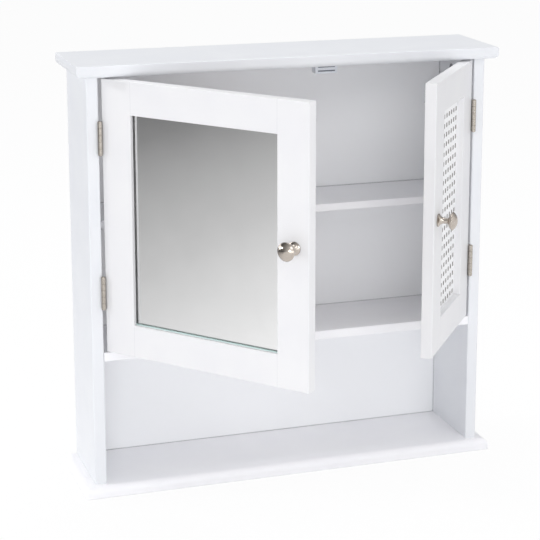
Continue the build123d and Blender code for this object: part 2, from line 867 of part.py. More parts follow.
def knob(side):
    """Return a knob with a flared foot, a thin neck and a head that bulges on both sides."""
    neck = (knob_neck_radius, knob_neck_height)
    neck_end = (knob_neck_radius, knob_back_height)
    rim_top = knob_rim_height + knob_rim_thickness
    foot_curve = TangentArc(neck, (knob_base_radius, knob_base_rim), tangent=(0, -1))
    back_curve = TangentArc(neck_end, (knob_head_radius, knob_rim_height), tangent=(1, knob_back_rise))
    dome = TangentArc((0, knob_projection), (knob_head_radius, rim_top), tangent=(1, 0))
    straight = [Line((0, knob_projection), (0, 0)), Line((0, 0), (knob_base_radius, 0)),
                Line((knob_base_radius, 0), (knob_base_radius, knob_base_rim)), Line(neck, neck_end),
                Line((knob_head_radius, knob_rim_height), (knob_head_radius, rim_top))]
    outline = Plane.XZ * make_face(Curve() + [foot_curve, back_curve, dome] + straight)
    body = revolve(outline, axis=Axis.Z)
    circles = body.edges().filter_by(GeomType.CIRCLE)
    body = fillet([e for e in circles if abs(e.center().Z - knob_back_height) < near], knob_back_round)
    rim = [e for e in body.edges().filter_by(GeomType.CIRCLE) if e.radius > knob_head_radius - near]
    body = fillet(rim, knob_rim_round)
    bore_depth = knob_screw_depth + bore_clearance
    body -= rod((0, 0, -spare), up, knob_screw_radius + bore_clearance, bore_depth + spare)
    return swung(Plane(origin=knob_place(side), z_dir=to_room) * body, side)


def knob_screw(side):
    """Return the knob's screw, with its head on the door's back."""
    head = rod((0, 0, 0), up, knob_screw_head_radius, knob_screw_head_height)
    head = fillet(head.edges().sort_by(Axis.Z)[-1], knob_screw_head_height / 2)
    recess = Pos(0, 0, knob_screw_head_height) * large_recess()
    shank = rod((0, 0, 0), down, knob_screw_radius, door_thickness + knob_screw_depth)
    x, _, z = knob_place(side)
    return swung(Plane(origin=(x, door_back_y, z), z_dir=to_wall) * (head + shank - recess), side)


def knob_screw_bore(side):
    """Return the hole through the stile for the knob's screw."""
    x, y, z = knob_place(side)
    return rod((x, y - spare, z), to_wall, knob_screw_radius + knob_screw_clearance,
               door_thickness + 2 * spare)


# Strike plates

def strike_spans(side):
    """Return the X and Z spans of a strike plate."""
    edge = door_edge_x + door_width(side) - strike_edge_distance
    top = door_top_z - strike_top_distance
    return (edge - strike_width, edge), (top - strike_height, top)


def strike_screw_place(side):
    """Return where the head of a strike plate's screw is."""
    x_span, z_span = strike_spans(side)
    return sum(x_span) / 2, door_back_y + strike_thickness, z_span[1] - strike_screw_drop


def strike_plate(side):
    """Return the steel plate that the catch pulls."""
    x_span, z_span = strike_spans(side)
    plate = block(x_span, (door_back_y, door_back_y + strike_thickness), z_span)
    return swung(plate - strike_bore(side), side)


def strike_bore(side):
    """Return the hole of a strike plate's screw."""
    return fitting_bore(strike_screw_place(side), to_wall, strike_screw_length)


def strike_screw(side):
    """Return the screw of a strike plate."""
    return swung(fitting_screw(strike_screw_place(side), to_wall, strike_screw_length), side)


# Hinges. The half on the cabinet's side is -1, the half on the door is 1.

def leaf_span_x(half):
    """Return the X span of a hinge leaf on the left side of the cabinet."""
    wood = -half_inner if half < 0 else door_edge_x
    sunk = wood + half * hinge_leaf_inset
    return sunk - half * hinge_leaf_thickness, sunk


def hinge_screw_places(z, half):
    """Return where the heads of one leaf's screws are, and where they look."""
    face = leaf_span_x(half)[0]
    y = front_y + hinge_leaf_width / 2
    look = to_right if half < 0 else to_left
    return [((face, y, z + s * hinge_screw_spacing / 2), look) for s in (-1, 1)]


def hinge_mortise(z, half):
    """Return the recess for a leaf in the side or in the door's edge."""
    near, far = leaf_span_x(half)
    reach = hinge_length / 2 + inlay_clearance
    return block((near - half * spare, far), (front_y - spare, front_y + hinge_leaf_width + inlay_clearance),
                 (z - reach, z + reach))


def knuckle_spans(z, half):
    """Return the Z spans of the knuckles that belong to one half."""
    length = (hinge_length - (hinge_knuckles - 1) * hinge_knuckle_clearance) / hinge_knuckles
    step = length + hinge_knuckle_clearance
    first = z - hinge_length / 2
    start = 0 if half < 0 else 1
    return [(first + step * i, first + step * i + length) for i in range(start, hinge_knuckles, 2)]


def hinge_leaf(z, half):
    """Return a hinge leaf with its knuckles, shut and on the left side."""
    x_span = leaf_span_x(half)
    clear_y = hinge_y + hinge_knuckle_radius + hinge_knuckle_clearance
    end_y = front_y + hinge_leaf_width
    leaf = block(x_span, (clear_y, end_y), (z - hinge_length / 2, z + hinge_length / 2))
    for low, high in knuckle_spans(z, half):
        leaf += rod((hinge_x, hinge_y, low), up, hinge_knuckle_radius, high - low)
        leaf += block(x_span, (hinge_y, end_y), (low, high))
    leaf -= rod((hinge_x, hinge_y, z - hinge_length), up, hinge_pin_radius + hinge_pin_clearance,
                2 * hinge_length)
    return leaf - [fitting_bore(*place) for place in hinge_screw_places(z, half)]


def hinge_pin(z):
    """Return a hinge pin with a head at both ends."""
    half = hinge_length / 2
    pin = rod((hinge_x, hinge_y, z - half), up, hinge_pin_radius, hinge_length)
    pin += rod((hinge_x, hinge_y, z + half), up, hinge_pin_head_radius, hinge_pin_head_height)
    pin += rod((hinge_x, hinge_y, z - half), down, hinge_pin_head_radius, hinge_pin_head_height)
    ends = pin.edges().filter_by(GeomType.CIRCLE)
    rims = ends.group_by(Axis.Z)[0] + ends.group_by(Axis.Z)[-1]
    return fillet(rims, hinge_pin_head_height / 2)


def on_side(shape, side):
    """Carry a left-hand piece of the cabinet to its side."""
    return shape if side < 0 else flipped(shape)


def hinge_side_leaves(side):
    """Return the two leaves on one side of the cabinet."""
    return [on_side(hinge_leaf(z, -1), side) for z in hinge_heights]


def hinge_pins(side):
    """Return the two hinge pins of one side."""
    return [on_side(hinge_pin(z), side) for z in hinge_heights]


def hinge_side_screws():
    """Return the screws of the leaves on both sides of the cabinet."""
    places = [place for z in hinge_heights for place in hinge_screw_places(z, -1)]
    return both_sides([fitting_screw(*place) for place in places])


def hinge_door_leaves(side):
    """Return the two leaves on a door."""
    return [swung(hinge_leaf(z, 1), side) for z in hinge_heights]


def hinge_door_screws(side):
    """Return the screws of the leaves on a door."""
    places = [place for z in hinge_heights for place in hinge_screw_places(z, 1)]
    return [swung(fitting_screw(*place), side) for place in places]


# Assembly

def cabinet_nodes():
    """Return the nodes that stay on the wall."""
    left_panel = left_side_panel()
    return {
        "top_board": top_board(),
        "left_side_panel": left_panel,
        "right_side_panel": flipped(left_panel),
        "bottom_board": bottom_board(),
        "fixed_shelf": fixed_shelf(),
        "adjustable_shelf": adjustable_shelf(),
        "back_panel": back_panel(),
        "shelf_pins": shelf_pins(),
        "carcass_dowels": carcass_dowels(),
        "cam_bolts": cam_bolts(),
        "cam_discs": cam_discs(),
        "bottom_board_screws": bottom_board_screws(),
        "back_panel_nails": back_panel_nails(),
        "wall_hanger_plates": wall_hanger_plates(),
        "wall_hanger_screws": wall_hanger_screws(),
        "catch_housing": catch_housing(),
        "catch_pole_plates": catch_pole_plates(),
        "catch_magnet": catch_magnet(),
        "catch_screws": catch_screws(),
        "left_hinge_side_leaves": hinge_side_leaves(-1),
        "right_hinge_side_leaves": hinge_side_leaves(1),
        "left_hinge_pins": hinge_pins(-1),
        "right_hinge_pins": hinge_pins(1),
        "hinge_side_screws": hinge_side_screws(),
    }


def door_nodes(side):
    """Return the nodes that both doors have."""
    name = "left" if side < 0 else "right"
    hinge_stile, meeting_stile, top_rail, bottom_rail = door_frame(side)
    return {
        f"{name}_door_hinge_stile": hinge_stile,
        f"{name}_door_meeting_stile": meeting_stile,
        f"{name}_door_top_rail": top_rail,
        f"{name}_door_bottom_rail": bottom_rail,
        f"{name}_door_dowels": door_dowels(side),
        f"{name}_knob": knob(side),
        f"{name}_knob_screw": knob_screw(side),
        f"{name}_hinge_door_leaves": hinge_door_leaves(side),
        f"{name}_hinge_door_screws": hinge_door_screws(side),
        f"{name}_strike_plate": strike_plate(side),
        f"{name}_strike_screw": strike_screw(side),
    }


def filling_nodes():
    """Return what lies in the rebates of the two doors."""
    return {
        "mirror_glass": mirror_glass(),
        "mirror_backing": mirror_backing(),
        "mirror_brads": brads(-1),
        "perforated_panel": perforated_panel(),
        "panel_brads": brads(1),
    }


def write_nodes(nodes):
    """Write each node to its own file."""
    os.makedirs("parts", exist_ok=True)
    for name, shape in nodes.items():
        solids = shape if isinstance(shape, list) else [shape]
        solids = [solid for piece in solids for solid in piece.solids()]
        whole = Compound(solids) if len(solids) > 1 else solids[0]
        export_step(whole, f"parts/{name}.step")


write_nodes(cabinet_nodes() | door_nodes(-1) | door_nodes(1) | filling_nodes())
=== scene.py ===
import json
import logging
from dataclasses import dataclass
from enum import Enum
from math import radians
from typing import Any, Iterable, Optional, Sequence

import bmesh
import bpy
from mathutils import Matrix, Vector


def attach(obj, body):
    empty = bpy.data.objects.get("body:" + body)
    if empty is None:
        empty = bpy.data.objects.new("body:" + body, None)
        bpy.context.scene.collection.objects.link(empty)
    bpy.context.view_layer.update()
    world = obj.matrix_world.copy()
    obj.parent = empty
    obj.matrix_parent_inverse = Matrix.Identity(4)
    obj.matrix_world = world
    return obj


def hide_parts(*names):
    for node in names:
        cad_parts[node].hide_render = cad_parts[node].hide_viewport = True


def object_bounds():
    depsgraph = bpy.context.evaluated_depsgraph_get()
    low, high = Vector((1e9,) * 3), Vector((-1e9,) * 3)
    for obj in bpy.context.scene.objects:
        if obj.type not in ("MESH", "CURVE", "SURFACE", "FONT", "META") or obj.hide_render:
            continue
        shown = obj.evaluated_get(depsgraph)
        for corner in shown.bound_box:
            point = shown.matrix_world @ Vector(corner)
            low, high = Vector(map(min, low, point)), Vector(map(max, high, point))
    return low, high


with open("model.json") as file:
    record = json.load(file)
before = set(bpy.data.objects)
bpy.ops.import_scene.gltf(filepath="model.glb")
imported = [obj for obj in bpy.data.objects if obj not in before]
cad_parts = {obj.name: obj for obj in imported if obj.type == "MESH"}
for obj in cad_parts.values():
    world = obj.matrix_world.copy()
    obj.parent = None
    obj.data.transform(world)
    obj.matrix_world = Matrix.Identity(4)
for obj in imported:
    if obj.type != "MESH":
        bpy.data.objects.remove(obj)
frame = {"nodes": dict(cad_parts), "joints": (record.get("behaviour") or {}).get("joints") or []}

CAD_LOW, CAD_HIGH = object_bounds()
MM = 0.001
WHITE = "#FFFFFF"
# Noise seldom leaves this range, so ramps over it run between these two values.
NOISE_LOW, NOISE_HIGH = 0.3, 0.7
# The openness up to which the painted shade in a joint or corner is at its darkest.
CREVICE_SHADE_FLOOR = 0.08
# The share of a surface's direction along the door's, from which it counts as one of its faces.
FACE_SHARE = 0.5
# The upward share of a surface's direction, below which it faces down.
FACING_DOWN = -0.9
ARRIS_STEPS = 2
log = logging.getLogger("wall_cabinet")


# Colour and node helpers

def linear(hex_colour: str) -> tuple[float, float, float, float]:
    """Turn an sRGB hex colour into linear light.

    Args:
        hex_colour: Six hex digits, with or without a leading hash.

    Returns:
        Red, green, blue and an alpha of one.
    """
    digits = hex_colour.lstrip("#")
    shares = [int(digits[i:i + 2], 16) / 255 for i in (0, 2, 4)]
    red, green, blue = (s / 12.92 if s <= 0.04045 else ((s + 0.055) / 1.055) ** 2.4 for s in shares)
    return red, green, blue, 1.0


def per_metre(size_mm: float) -> float:
    """Return the pattern scale that gives features of a size in millimetres."""
    return 1 / (size_mm * MM)


def add_node(tree: bpy.types.NodeTree, kind: str, links: Optional[dict[str, Any]] = None,
             values: Optional[dict[Any, Any]] = None, **settings: Any) -> bpy.types.Node:
    """Add a shader node with its settings, input values and incoming links.

    Args:
        tree: The node tree that gets the node.
        kind: The node's type name.
        links: Input name or index to the output socket that feeds it.
        values: Input name or index to a constant.
        **settings: Attributes of the node itself.

    Returns:
        The new node.
    """
    node = tree.nodes.new(kind)
    for name, value in settings.items():
        setattr(node, name, value)
    for key, value in (values or {}).items():
        node.inputs[key].default_value = value
    for key, socket in (links or {}).items():
        tree.links.new(socket, node.inputs[key])
    return node


def set_stops(ramp: bpy.types.Node, stops: Sequence[tuple[float, str]]) -> bpy.types.Node:
    """Give a colour ramp its stops.

    Args:
        ramp: The colour ramp node.
        stops: Pairs of a place from 0 to 1 and an sRGB hex colour.

    Returns:
        The same node.
    """
    elements = ramp.color_ramp.elements
    while len(elements) > len(stops):
        elements.remove(elements[-1])
    while len(elements) < len(stops):
        elements.new(1.0)
    for element, (place, colour) in zip(elements, stops):
        element.position = place
        element.color = linear(colour)
    return ramp


class Axis(Enum):
    """The direction that a grain or a brushing runs in."""

    X = (1.0, 0.0, 0.0)
    Z = (0.0, 0.0, 1.0)

    def stretch(self, factor: float) -> tuple[float, float, float]:
        """Return a scale that lengthens a pattern along this direction."""
        return tuple(1.0 / factor if share else 1.0 for share in self.value)


@dataclass(frozen=True)
class Finish:
    """What every finish has: a name and the start of its material."""

    name: str

    def start(self) -> tuple[bpy.types.Material, bpy.types.NodeTree, bpy.types.Node, bpy.types.Node]:
        """Make the material with its shader, output and coordinates.

        Returns:
            The material, its tree, its Principled shader and its coordinates.
        """
        material = bpy.data.materials.new(self.name)
        material.use_nodes = True
        tree = material.node_tree
        tree.nodes.clear()
        shader = add_node(tree, "ShaderNodeBsdfPrincipled")
        add_node(tree, "ShaderNodeOutputMaterial", {"Surface": shader.outputs["BSDF"]})
        place = add_node(tree, "ShaderNodeTexCoord")
        return material, tree, shader, place


def crevice_shade(tree: bpy.types.NodeTree, colour: Any, reach_mm: float, shade_tone: str, clear: float,
            samples: int = 6) -> Any:
    """Darken a colour where surfaces meet closely: painted shade, standing in for the shade in joints,
    corners and gaps.

    Args:
        tree: The material's node tree.
        colour: The output with the plain colour.
        reach_mm: How far from a joint the darkening reaches.
        shade_tone: The sRGB hex colour that multiplies the colour in the joint.
        clear: The openness, from 0 to 1, from which nothing is darkened.
        samples: How many directions are tried at a point.

    Returns:
        The output with the darkened colour.
    """
    openness = add_node(tree, "ShaderNodeAmbientOcclusion", None, {"Distance": reach_mm * MM},
                        samples=samples)
    share = set_stops(add_node(tree, "ShaderNodeValToRGB", {"Fac": openness.outputs["AO"]}),
                      ((CREVICE_SHADE_FLOOR, shade_tone), (clear, WHITE)))
    mixed = add_node(tree, "ShaderNodeMix", {6: colour, 7: share.outputs["Color"]}, {0: 1.0},
                     data_type="RGBA", blend_type="MULTIPLY")
    return mixed.outputs[2]


class Hanging(Enum):
    """The side of the cabinet that a door hangs on, with its place read from the frame."""

    LEFT = "left"
    RIGHT = "right"

    def joint(self) -> dict[str, Any]:
        """Return the door's joint."""
        return next(joint for joint in frame["joints"] if joint["child"] == f"{self.value}_door")

    def swing(self) -> float:
        """Return the turn in radians, about the upright, that would shut the door from rest."""
        joint = self.joint()
        return radians(joint["range_deg"][0] * joint["axis"][2])

    def along(self) -> Vector:
        """Return the direction that runs across the door, to the cabinet's right when shut."""
        return Matrix.Rotation(-self.swing(), 3, "Z") @ Vector((1.0, 0.0, 0.0))

    def inward(self) -> Vector:
        """Return the direction from the door's face to its back."""
        return Matrix.Rotation(-self.swing(), 3, "Z") @ Vector((0.0, 1.0, 0.0))

    def spans(self, node: str) -> tuple[tuple[float, float], ...]:
        """Measure a piece across the door, through it and upwards.

        Args:
            node: The name of the piece in the frame.

        Returns:
            The lowest and highest value in each of the three directions.
        """
        spans = []
        for way in (self.along(), self.inward(), Vector((0.0, 0.0, 1.0))):
            values = [way.dot(vertex.co) for vertex in frame["nodes"][node].data.vertices]
            spans.append((min(values), max(values)))
        return tuple(spans)


@dataclass(frozen=True)
class RailEnds:
    """The two joint lines where a door's rails end against its stiles."""

    door: Hanging
    line_mm: float = 0.35

    def ends(self) -> tuple[float, float]:
        """Measure where the rails end, across the door from its hinge line.

        Returns:
            The two ends, in metres.
        """
        across = self.door.spans(f"{self.door.value}_door_top_rail")[0]
        start = self.door.along().dot(Vector(self.door.joint()["pos_m"]))
        return across[0] - start, across[1] - start

    def share(self, tree: bpy.types.NodeTree, point: Any) -> Any:
        """Find how near a point is to one of the two joint lines.

        Args:
            tree: The material's node tree.
            point: The output with the place in the frame.

        Returns:
            The output that is 1 on a joint line and 0 away from it.
        """
        moved = add_node(tree, "ShaderNodeVectorMath", {0: point}, {1: self.door.joint()["pos_m"]},
                         operation="SUBTRACT")
        turned = add_node(tree, "ShaderNodeVectorRotate", {"Vector": moved.outputs[0]},
                          {"Angle": self.door.swing()}, rotation_type="Z_AXIS")
        across = add_node(tree, "ShaderNodeSeparateXYZ", {0: turned.outputs[0]}).outputs["X"]
        low, high = self.ends()
        middle, half = (low + high) / 2, (high - low) / 2
        shifted = add_node(tree, "ShaderNodeMath", {0: across}, {1: middle}, operation="SUBTRACT")
        either = add_node(tree, "ShaderNodeMath", {0: shifted.outputs[0]}, operation="ABSOLUTE")
        near = add_node(tree, "ShaderNodeMapRange", {"Value": either.outputs[0]},
                        {"From Min": half - self.line_mm * MM, "From Max": half})
        return near.outputs["Result"]


@dataclass(frozen=True)
class SatinLacquer(Finish):
    """White satin lacquer, sprayed on boards.

    The spray leaves a faint orange peel, and the sanded board under it a long, low waviness.
    Together they soften the highlights without hiding the edges. Where surfaces meet closely, a painted
    shade darkens the paint, and the ends of a door's rails show as thin grey joint lines.
    Cut walls, such as those of holes, take a darker grey: partly the raw cut board, partly painted shade in
    the holes. They are told from faces by comparing the surface's direction in the world with the door's at
    rest. That holds near rest only: well turned, the tones are wrong.
    """

    tone: str = "#F8F9FB"
    shade: str = "#F4F5F8"
    roughness: float = 0.38
    peel_mm: float = 1.6
    peel_depth_mm: float = 0.012
    wave_mm: float = 55.0
    wave_depth_mm: float = 0.04
    # The dust nibs are finer than this, and are drawn coarser so that they aren't lost.
    nib_mm: float = 0.45
    nib_strength: float = 0.25
    gloss_spread: tuple[float, float] = (-0.05, 0.07)
    # Painted shade where surfaces meet closely: how far it reaches, its colour, and the openness from which
    # it stops.
    joint_shade_reach_mm: float = 2.5
    joint_shade_tone: str = "#A2A4AA"
    joint_shade_clear: float = 0.42
    rail_ends: Optional[RailEnds] = None
    rail_line: str = "#B9BBC0"
    cut_edge_and_shade: Optional[str] = None
    cut_door: Hanging = Hanging.RIGHT

    def colour(self, tree: bpy.types.NodeTree, point: Any, wave: Any) -> Any:
        """Build the paint's colour with its painted shade in joints, its rail lines and its cut edges.

        Args:
            tree: The material's node tree.
            point: The output with the place in the frame.
            wave: The output of the long waviness.

        Returns:
            The output with the colour.
        """
        tint = set_stops(add_node(tree, "ShaderNodeValToRGB", {"Fac": wave}),
                         ((NOISE_LOW, self.shade), (NOISE_HIGH, self.tone)))
        # Painted shade in corners and joints, where surfaces meet closely.
        colour = crevice_shade(tree, tint.outputs["Color"], self.joint_shade_reach_mm, self.joint_shade_tone, self.joint_shade_clear)
        if self.rail_ends:
            line = self.rail_ends.share(tree, point)
            mixed = add_node(tree, "ShaderNodeMix", {0: line, 6: colour}, {7: linear(self.rail_line)},
                             data_type="RGBA")
            colour = mixed.outputs[2]
        # Cut walls take a darker grey: partly the raw cut board, partly painted shade in the holes.
        if self.cut_edge_and_shade:
            normal = add_node(tree, "ShaderNodeNewGeometry").outputs["True Normal"]
            facing = add_node(tree, "ShaderNodeVectorMath", {0: normal}, {1: self.cut_door.inward()},
                              operation="DOT_PRODUCT")
            size = add_node(tree, "ShaderNodeMath", {0: facing.outputs["Value"]}, operation="ABSOLUTE")
            side = add_node(tree, "ShaderNodeMath", {0: size.outputs[0]}, {1: FACE_SHARE},
                            operation="LESS_THAN")
            mixed = add_node(tree, "ShaderNodeMix", {0: side.outputs[0], 6: colour},
                             {7: linear(self.cut_edge_and_shade)}, data_type="RGBA")
            colour = mixed.outputs[2]
        return colour

    def material(self) -> bpy.types.Material:
        """Build the lacquer's material.

        Returns:
            The material.
        """
        material, tree, shader, place = self.start()
        point = place.outputs["Object"]
        wave = add_node(tree, "ShaderNodeTexNoise", {"Vector": point},
                        {"Scale": per_metre(self.wave_mm), "Detail": 2.0, "Roughness": 0.5})
        peel = add_node(tree, "ShaderNodeTexNoise", {"Vector": point},
                        {"Scale": per_metre(self.peel_mm), "Detail": 2.0, "Roughness": 0.45})
        nib = add_node(tree, "ShaderNodeTexNoise", {"Vector": point},
                       {"Scale": per_metre(self.nib_mm), "Detail": 1.0})
        tree.links.new(self.colour(tree, point, wave.outputs["Fac"]), shader.inputs["Base Color"])
        gloss = add_node(tree, "ShaderNodeMapRange", {"Value": peel.outputs["Fac"]},
                         {"From Min": NOISE_LOW, "From Max": NOISE_HIGH,
                          "To Min": self.roughness + self.gloss_spread[0],
                          "To Max": self.roughness + self.gloss_spread[1]})
        tree.links.new(gloss.outputs["Result"], shader.inputs["Roughness"])
        broad = add_node(tree, "ShaderNodeBump", {"Height": wave.outputs["Fac"]},
                         {"Strength": 1.0, "Distance": self.wave_depth_mm * MM})
        fine = add_node(tree, "ShaderNodeBump",
                        {"Height": peel.outputs["Fac"], "Normal": broad.outputs["Normal"]},
                        {"Strength": 1.0, "Distance": self.peel_depth_mm * MM})
        grit = add_node(tree, "ShaderNodeBump",
                        {"Height": nib.outputs["Fac"], "Normal": fine.outputs["Normal"]},
                        {"Strength": self.nib_strength, "Distance": self.peel_depth_mm * MM})
        tree.links.new(grit.outputs["Normal"], shader.inputs["Normal"])
        return material


@dataclass(frozen=True)
class WoodGrain(Finish):
    """Bare turned or sawn beech, with fine dark flecks along the grain."""

    pale: str = "#CFA878"
    dark: str = "#A97F50"
    grain_mm: float = 0.8
    run: float = 12.0
    along: Axis = Axis.Z
    roughness: float = 0.62
    relief_mm: float = 0.05
    relief_strength: float = 0.5

    def material(self) -> bpy.types.Material:
        """Build the bare wood's material.

        Returns:
            The material.
        """
        material, tree, shader, place = self.start()
        shader.inputs["Roughness"].default_value = self.roughness
        stretched = add_node(tree, "ShaderNodeMapping", {"Vector": place.outputs["Object"]},
                             {"Scale": self.along.stretch(self.run)})
        grain = add_node(tree, "ShaderNodeTexNoise", {"Vector": stretched.outputs["Vector"]},
                         {"Scale": per_metre(self.grain_mm), "Detail": 4.0})
        colour = add_node(tree, "ShaderNodeValToRGB", {"Fac": grain.outputs["Fac"]})
        set_stops(colour, ((0.35, self.dark), (0.6, self.pale)))
        tree.links.new(colour.outputs["Color"], shader.inputs["Base Color"])
        relief = add_node(tree, "ShaderNodeBump", {"Height": grain.outputs["Fac"]},
                          {"Strength": self.relief_strength, "Distance": self.relief_mm * MM})
        tree.links.new(relief.outputs["Normal"], shader.inputs["Normal"])
        return material


@dataclass(frozen=True)
class PressedFibre(Finish):
    """Raw hardboard, hot-pressed from wood fibre.

    It looks mottled brown, with the print of the press's wire screen on its rough side.
    """

    dark: str = "#5E4029"
    middle: str = "#7B5838"
    pale: str = "#9A7550"
    fibre_mm: float = 2.2
    fibre_curl: float = 1.2
    screen_mm: float = 1.6
    roughness: float = 0.78
    print_mm: float = 0.15
    print_strength: float = 0.6

    def material(self) -> bpy.types.Material:
        """Build the hardboard's material.

        Returns:
            The material.
        """
        material, tree, shader, place = self.start()
        shader.inputs["Roughness"].default_value = self.roughness
        point = place.outputs["Object"]
        fibre = add_node(tree, "ShaderNodeTexNoise", {"Vector": point},
                         {"Scale": per_metre(self.fibre_mm), "Detail": 8.0, "Roughness": 0.7,
                          "Distortion": self.fibre_curl})
        colour = add_node(tree, "ShaderNodeValToRGB", {"Fac": fibre.outputs["Fac"]})
        set_stops(colour, ((0.3, self.dark), (0.5, self.middle), (0.72, self.pale)))
        tree.links.new(colour.outputs["Color"], shader.inputs["Base Color"])
        screen = add_node(tree, "ShaderNodeTexVoronoi", {"Vector": point},
                          {"Scale": per_metre(self.screen_mm), "Randomness": 0.25})
        print_relief = add_node(tree, "ShaderNodeBump", {"Height": screen.outputs["Distance"]},
                                {"Strength": self.print_strength, "Distance": self.print_mm * MM})
        tree.links.new(print_relief.outputs["Normal"], shader.inputs["Normal"])
        return material


@dataclass(frozen=True)
class PlatedMetal(Finish):
    """Plated metal: a metallic shader with a brushing or a fine plating grain.

    The brushing stretches the highlights along it and breaks them across it.
    """

    tone: str = "#C9C7C2"
    shade: str = "#ACAAA5"
    roughness: float = 0.28
    gloss_spread: tuple[float, float] = (-0.06, 0.08)
    # Brush lines and plating grain are finer than this, and are drawn coarser so that they show.
    grain_mm: float = 0.35
    run: float = 10.0
    along: Axis = Axis.Z
    relief_mm: float = 0.006
    relief_strength: float = 0.6
    anisotropic: float = 0.3
    # Painted shade where surfaces meet closely, such as a hinge's knuckle gaps or a knob's neck: its reach,
    # colour, openness and samples.
    gap_shade_reach_mm: float = 0.0
    gap_shade_tone: str = "#5A5652"
    gap_shade_clear: float = 0.5
    gap_shade_samples: int = 8

    def material(self) -> bpy.types.Material:
        """Build the metal's material.

        Returns:
            The material.
        """
        material, tree, shader, place = self.start()
        shader.inputs["Metallic"].default_value = 1.0
        shader.inputs["Anisotropic"].default_value = self.anisotropic
        stretched = add_node(tree, "ShaderNodeMapping", {"Vector": place.outputs["Object"]},
                             {"Scale": self.along.stretch(self.run)})
        grain = add_node(tree, "ShaderNodeTexNoise", {"Vector": stretched.outputs["Vector"]},
                         {"Scale": per_metre(self.grain_mm), "Detail": 3.0, "Roughness": 0.6})
        colour = add_node(tree, "ShaderNodeValToRGB", {"Fac": grain.outputs["Fac"]})
        set_stops(colour, ((NOISE_LOW, self.shade), (NOISE_HIGH, self.tone)))
        finish = colour.outputs["Color"]
        # Painted shade in gaps and under overhangs, where surfaces meet closely.
        if self.gap_shade_reach_mm > 0:
            finish = crevice_shade(tree, finish, self.gap_shade_reach_mm, self.gap_shade_tone, self.gap_shade_clear,
                             self.gap_shade_samples)
        tree.links.new(finish, shader.inputs["Base Color"])
        gloss = add_node(tree, "ShaderNodeMapRange", {"Value": grain.outputs["Fac"]},
                         {"From Min": NOISE_LOW, "From Max": NOISE_HIGH,
                          "To Min": self.roughness + self.gloss_spread[0],
                          "To Max": self.roughness + self.gloss_spread[1]})
        tree.links.new(gloss.outputs["Result"], shader.inputs["Roughness"])
        relief = add_node(tree, "ShaderNodeBump", {"Height": grain.outputs["Fac"]},
                          {"Strength": self.relief_strength, "Distance": self.relief_mm * MM})
        tree.links.new(relief.outputs["Normal"], shader.inputs["Normal"])
        return material


@dataclass(frozen=True)
class MouldedPlastic(Finish):
    """White moulded ABS with a light spark-eroded grain, so it looks a little softer than paint."""

    tone: str = "#E9ECF2"
    shade: str = "#DFE3EA"
    grain_mm: float = 0.5
    roughness: float = 0.42
    ior: float = 1.54
    relief_mm: float = 0.01
    relief_strength: float = 0.4

    def material(self) -> bpy.types.Material:
        """Build the plastic's material.

        Returns:
            The material.
        """
        material, tree, shader, place = self.start()
        shader.inputs["Roughness"].default_value = self.roughness
        shader.inputs["IOR"].default_value = self.ior
        grain = add_node(tree, "ShaderNodeTexNoise", {"Vector": place.outputs["Object"]},
                         {"Scale": per_metre(self.grain_mm), "Detail": 3.0})
        colour = add_node(tree, "ShaderNodeValToRGB", {"Fac": grain.outputs["Fac"]})
        set_stops(colour, ((NOISE_LOW, self.shade), (NOISE_HIGH, self.tone)))
        tree.links.new(colour.outputs["Color"], shader.inputs["Base Color"])
        relief = add_node(tree, "ShaderNodeBump", {"Height": grain.outputs["Fac"]},
                          {"Strength": self.relief_strength, "Distance": self.relief_mm * MM})
        tree.links.new(relief.outputs["Normal"], shader.inputs["Normal"])
        return material


@dataclass(frozen=True)
class GroundGlass(MouldedPlastic):
    """The ground lower edge of the mirror's glass.

    It stands in for light that comes through the glass's edge, so it is opaque and pale green. It is
    built like the plastic, which has nearly the same index.
    """

    tone: str = "#D3E9E5"
    shade: str = "#C4DFDA"
    grain_mm: float = 0.3
    roughness: float = 0.3


@dataclass(frozen=True)
class SinteredFerrite(Finish):
    """Hard ferrite, pressed and fired: near black with a dull, sandy grain."""

    tone: str = "#35363A"
    shade: str = "#26272A"
    grain_mm: float = 0.6
    roughness: float = 0.7

    def material(self) -> bpy.types.Material:
        """Build the magnet's material.

        Returns:
            The material.
        """
        material, tree, shader, place = self.start()
        shader.inputs["Roughness"].default_value = self.roughness
        grain = add_node(tree, "ShaderNodeTexNoise", {"Vector": place.outputs["Object"]},
                         {"Scale": per_metre(self.grain_mm), "Detail": 5.0})
        colour = add_node(tree, "ShaderNodeValToRGB", {"Fac": grain.outputs["Fac"]})
        set_stops(colour, ((0.35, self.shade), (0.65, self.tone)))
        tree.links.new(colour.outputs["Color"], shader.inputs["Base Color"])
        return material


@dataclass(frozen=True)
class FloatGlass(Finish):
    """Clear float glass, colourless, so the silver behind it gives the mirror its look."""

    tint: str = WHITE
    roughness: float = 0.0
    ior: float = 1.52

    def material(self) -> bpy.types.Material:
        """Build the glass's material.

        Returns:
            The material.
        """
        material, _, shader, _ = self.start()
        shader.inputs["Base Color"].default_value = linear(self.tint)
        shader.inputs["Transmission Weight"].default_value = 1.0
        shader.inputs["Roughness"].default_value = self.roughness
        shader.inputs["IOR"].default_value = self.ior
        return material


@dataclass(frozen=True)
class Silvering(Finish):
    """The silver film on the back of a mirror, with a very faint streak from its pouring."""

    tone: str = "#FAFAFA"
    shade: str = "#F7F7F7"
    streak_mm: float = 40.0
    roughness: float = 0.015

    def material(self) -> bpy.types.Material:
        """Build the silver film's material.

        Returns:
            The material.
        """
        material, tree, shader, place = self.start()
        shader.inputs["Metallic"].default_value = 1.0
        shader.inputs["Roughness"].default_value = self.roughness
        streak = add_node(tree, "ShaderNodeTexNoise", {"Vector": place.outputs["Object"]},
                          {"Scale": per_metre(self.streak_mm), "Detail": 2.0})
        colour = add_node(tree, "ShaderNodeValToRGB", {"Fac": streak.outputs["Fac"]})
        set_stops(colour, ((NOISE_LOW, self.shade), (NOISE_HIGH, self.tone)))
        tree.links.new(colour.outputs["Color"], shader.inputs["Base Color"])
        return material


